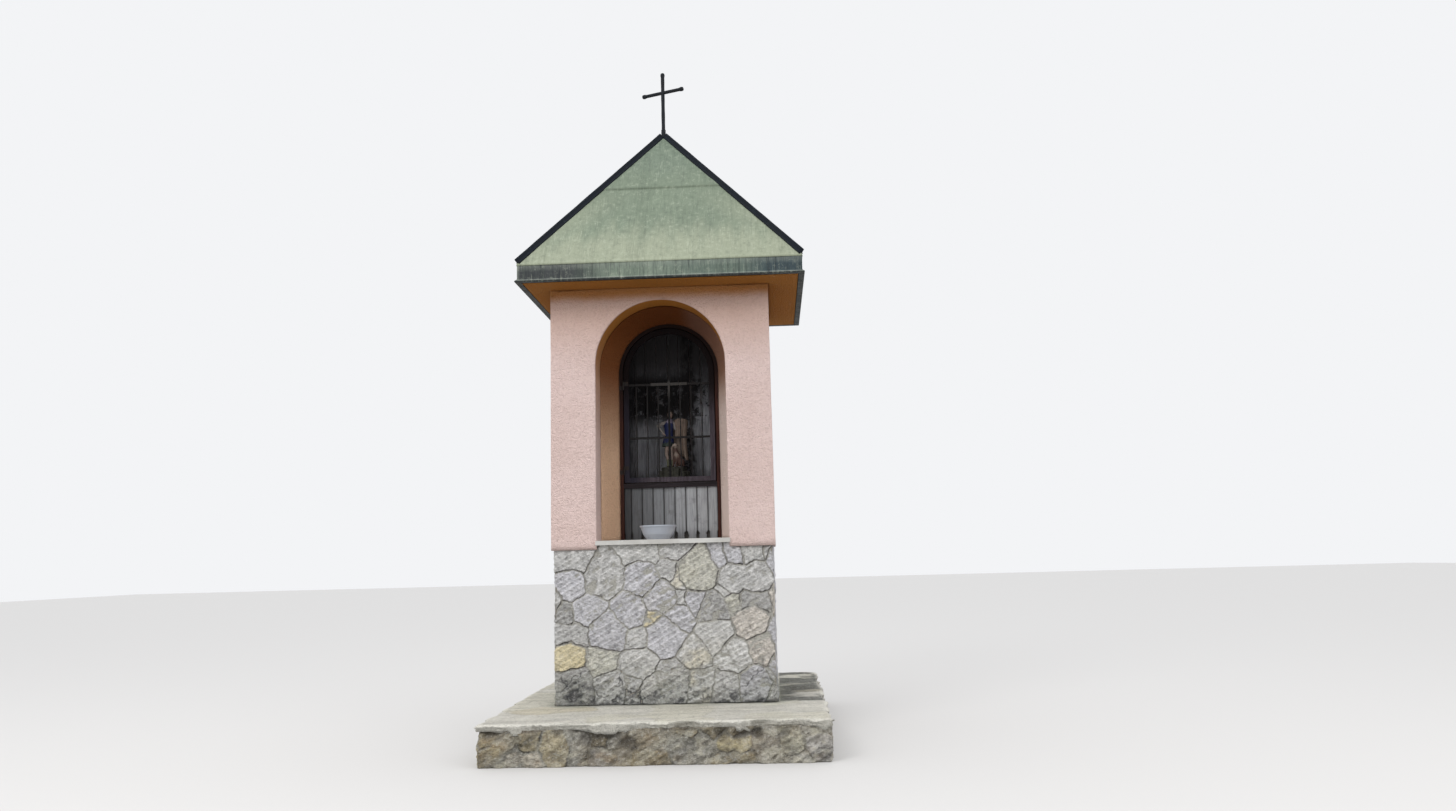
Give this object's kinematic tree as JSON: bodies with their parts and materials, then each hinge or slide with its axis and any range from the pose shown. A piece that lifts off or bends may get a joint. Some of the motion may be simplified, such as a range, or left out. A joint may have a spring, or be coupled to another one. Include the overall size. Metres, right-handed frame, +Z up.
{
  "type": "wayside shrine",
  "caption": "Free-standing wayside shrine: plastered arched niche with a hinged grille, rubble plinth and base, steep green sheet metal roof with a cross.",
  "frame": {"origin": "middle of the underside of the stone base, on the level it stands on", "axes": "+X to the right seen from the front, +Y to the back, +Z up; the front with the niche faces -Y"},
  "size_m": [2.26, 2.8, 5.2],
  "materials": {
    "rubble": "rough split limestone, pale grey with ochre and lilac stones, recessed mortar",
    "paving": "worn pale mortar and flags",
    "white_stone": "honed white sill",
    "salmon_plaster": "roughcast plaster, salmon pink limewash",
    "ochre_plaster": "roughcast plaster, ochre paint",
    "grey_boards": "weathered grey boards",
    "roof_boards": "rough sawn boards",
    "roof_sheet": "green weathered sheet with streaks",
    "dark_sheet": "dark green sheet, streaked",
    "black_iron": "black painted iron",
    "brown_timber": "dark brown stained timber",
    "grille_iron": "grey painted iron",
    "statue_rock": "painted dark rock",
    "statue_paint": "painted plaster statue, satin",
    "statue_cloak": "painted plaster, satin",
    "statue_dog": "painted plaster, satin",
    "bowl_white": "white garden bowl",
    "soil": "dark potting soil"
  },
  "bodies": {
    "shrine": {"base_step": "rubble", "base_paving": "paving", "plinth": "rubble", "sill": "white_stone", "front_pier_left": "salmon_plaster", "front_pier_right": "salmon_plaster", "reveal_left": "ochre_plaster", "reveal_right": "ochre_plaster", "front_arch": "salmon_plaster", "reveal_arch": "ochre_plaster", "side_wall_left": "salmon_plaster", "side_wall_right": "salmon_plaster", "back_wall": "salmon_plaster", "altar_block": "ochre_plaster", "altar_shelf": "paving", "back_boards": "grey_boards", "eaves_slab": "ochre_plaster", "roof_deck": "roof_boards", "roof_front": "roof_sheet", "roof_back": "roof_sheet", "roof_left": "roof_sheet", "roof_right": "roof_sheet", "hip_seams": "dark_sheet", "fascia_front": "dark_sheet", "fascia_back": "dark_sheet", "fascia_left": "dark_sheet", "fascia_right": "dark_sheet", "cross_socket": "black_iron", "cross_post": "black_iron", "cross_arms": "black_iron", "door_frame": "brown_timber", "middle_rail": "brown_timber", "panel_boards": "grey_boards", "hinge_pintles": "grille_iron", "statue_rock": "statue_rock", "statue_figure": "statue_paint", "statue_cloak": "statue_cloak", "statue_dog": "statue_dog", "flower_bowl": "bowl_white", "bowl_soil": "soil"},
    "grille_leaf": {"leaf_frame": "brown_timber", "leaf_bars": "grille_iron", "leaf_crossbars": "grille_iron", "leaf_cross": "grille_iron", "hinge_eyes": "grille_iron"}
  },
  "joints": [
    {"name": "leaf_hinge", "type": "hinge", "parent": "shrine", "child": "grille_leaf", "pos_m": [-0.329, -0.172, 1.947], "axis": [0, 0, -1], "range_deg": [0, 80]}
  ]
}
